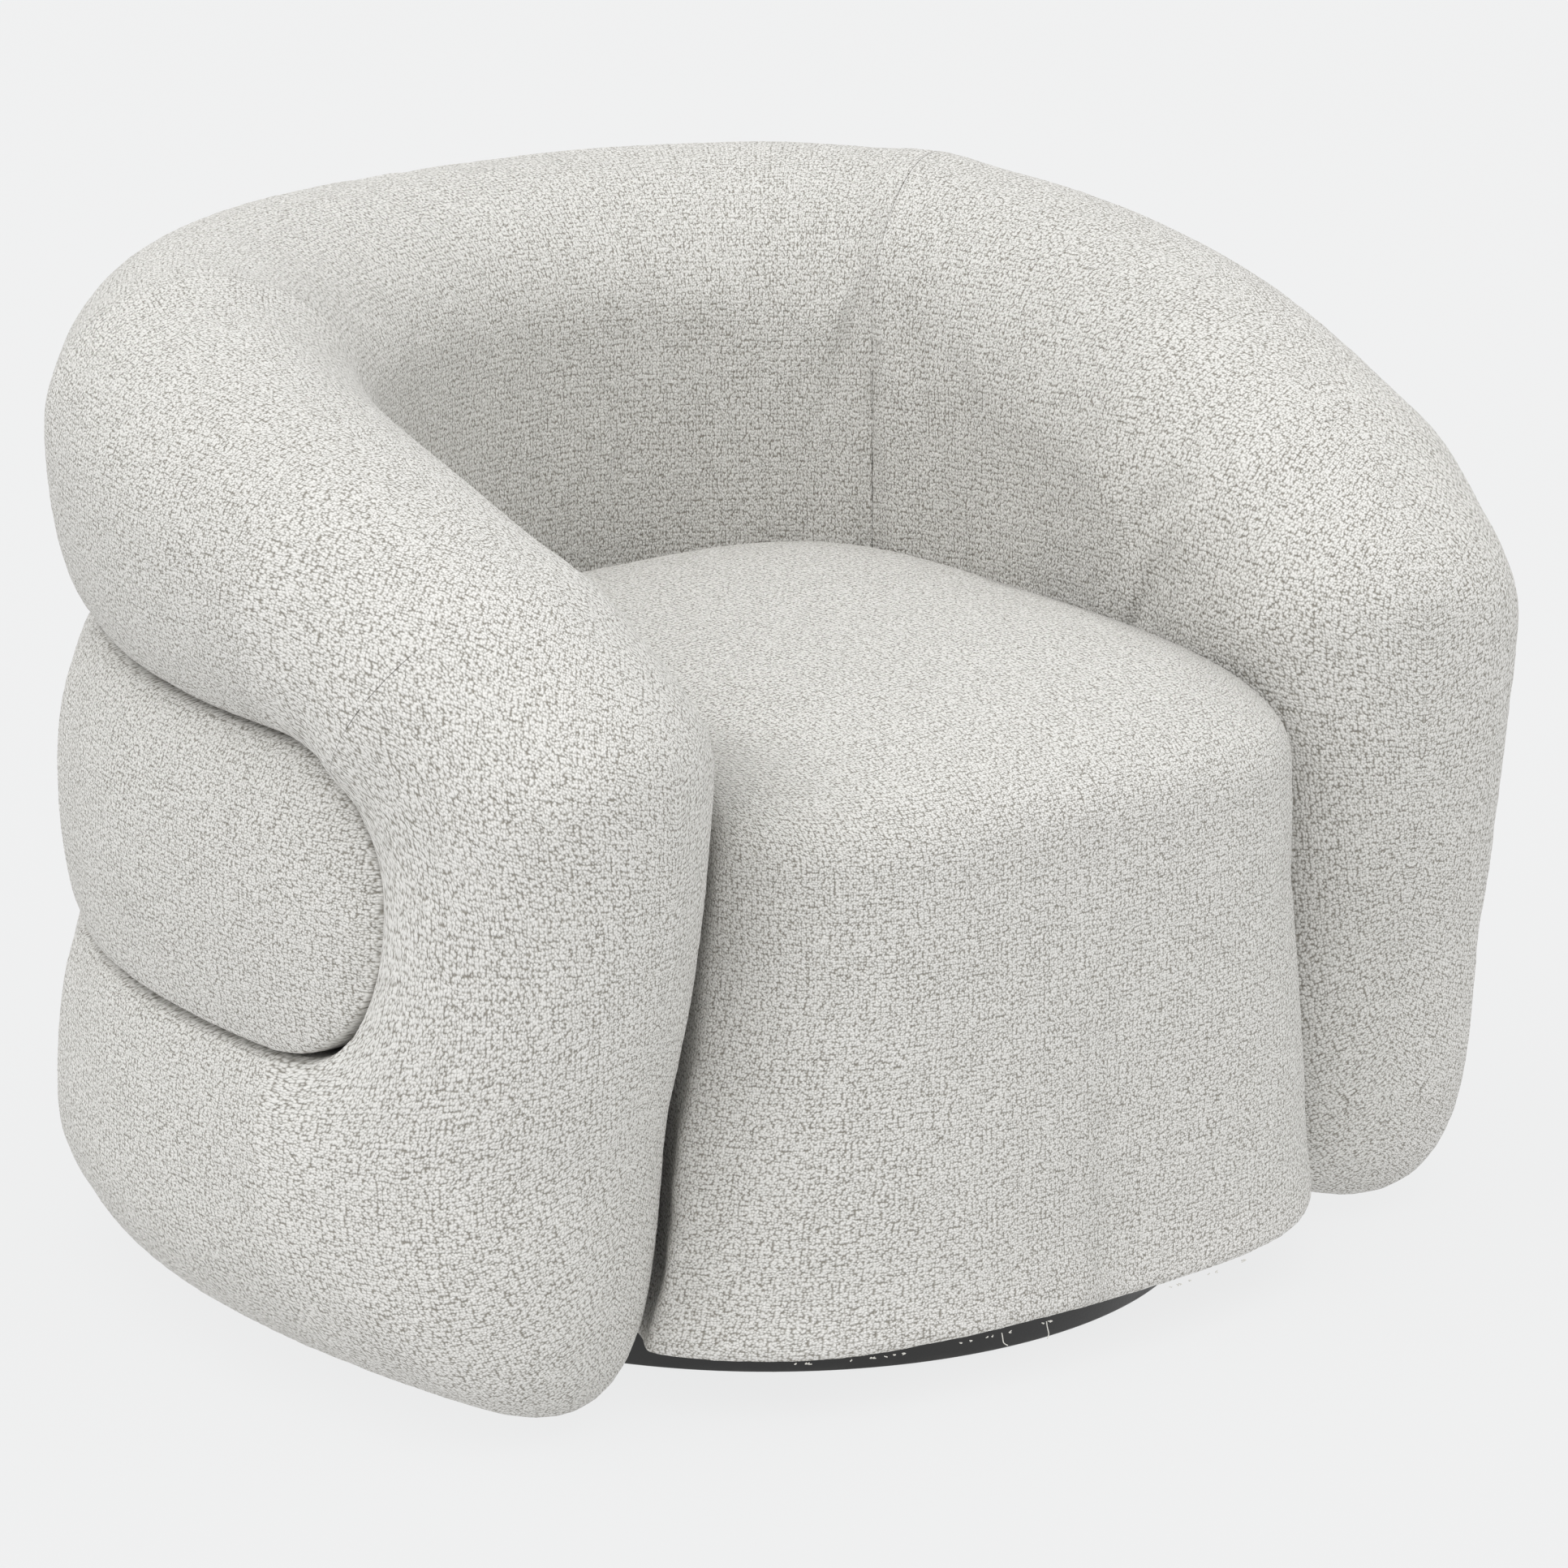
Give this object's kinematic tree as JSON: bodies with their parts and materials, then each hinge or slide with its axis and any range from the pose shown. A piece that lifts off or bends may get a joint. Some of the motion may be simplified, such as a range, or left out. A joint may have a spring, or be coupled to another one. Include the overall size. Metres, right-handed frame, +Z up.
{
  "type": "armchair",
  "caption": "Round swivel tub armchair: deep padded wall of stacked rolls in looped yarn fabric, arm fronts joining the rolls, domed seat running down to the hem, low black turntable base.",
  "frame": {"origin": "on the floor, on the swivel's axis", "axes": "+Z up, -Y towards the open front, +X towards the sitter's left"},
  "size_m": [0.992, 0.8865, 0.716],
  "materials": {
    "boucle": "looped yarn, matt",
    "foam": "open-cell foam",
    "plywood": "raw",
    "black_lining": "non-woven cloth",
    "steel": "satin",
    "zinc_plate": "zinc plated",
    "nylon": "matt",
    "black_lacquer": "satin black lacquer",
    "black_felt": "felt"
  },
  "bodies": {
    "base": {"floor_felt": "black_felt", "base_plinth": "black_lacquer", "lower_swivel_plate": "zinc_plate", "pivot_pin": "steel", "pin_washer": "zinc_plate", "pin_nut": "zinc_plate", "base_screw_1": "steel", "base_screw_2": "steel", "base_screw_3": "steel", "base_screw_4": "steel"},
    "cage": {"ball_cage": "nylon", "ball_1": "steel", "ball_2": "steel", "ball_3": "steel", "ball_4": "steel", "ball_5": "steel", "ball_6": "steel"},
    "chair": {"rim_back_cover": "boucle", "rim_back_foam": "foam", "rim_left_cover": "boucle", "rim_left_foam": "foam", "rim_right_cover": "boucle", "rim_right_foam": "foam", "arm_front_left_cover": "boucle", "arm_front_left_foam": "foam", "arm_front_right_cover": "boucle", "arm_front_right_foam": "foam", "lower_roll_back_cover": "boucle", "lower_roll_back_foam": "foam", "middle_roll_left_cover": "boucle", "middle_roll_left_foam": "foam", "middle_roll_back_cover": "boucle", "middle_roll_back_foam": "foam", "middle_roll_right_cover": "boucle", "middle_roll_right_foam": "foam", "seat_cover": "boucle", "seat_foam": "foam", "front_pad": "foam", "wall_board_back": "plywood", "wall_board_left": "plywood", "wall_board_right": "plywood", "floor_board": "plywood", "dust_cover": "black_lining", "front_board": "plywood", "side_rail_left": "plywood", "side_rail_right": "plywood", "back_rail": "plywood", "rib_left": "plywood", "rib_right": "plywood", "rib_back_left": "plywood", "rib_back_right": "plywood", "seat_spring_1": "steel", "seat_spring_2": "steel", "seat_spring_3": "steel", "seat_spring_4": "steel", "upper_swivel_plate": "zinc_plate", "frame_bolt_1": "steel", "frame_bolt_2": "steel", "frame_bolt_3": "steel", "frame_bolt_4": "steel"}
  },
  "joints": [
    {"name": "swivel_turn", "type": "hinge", "parent": "base", "child": "chair", "pos_m": [0, 0, 0.0364], "axis": [0, 0, 1], "continuous": true},
    {"name": "cage_turn", "type": "hinge", "parent": "base", "child": "cage", "pos_m": [0, 0, 0.0364], "axis": [0, 0, 1], "continuous": true}
  ],
  "couplings": [
    {"joint": "cage_turn", "follows": "swivel_turn", "ratio": 0.5}
  ]
}
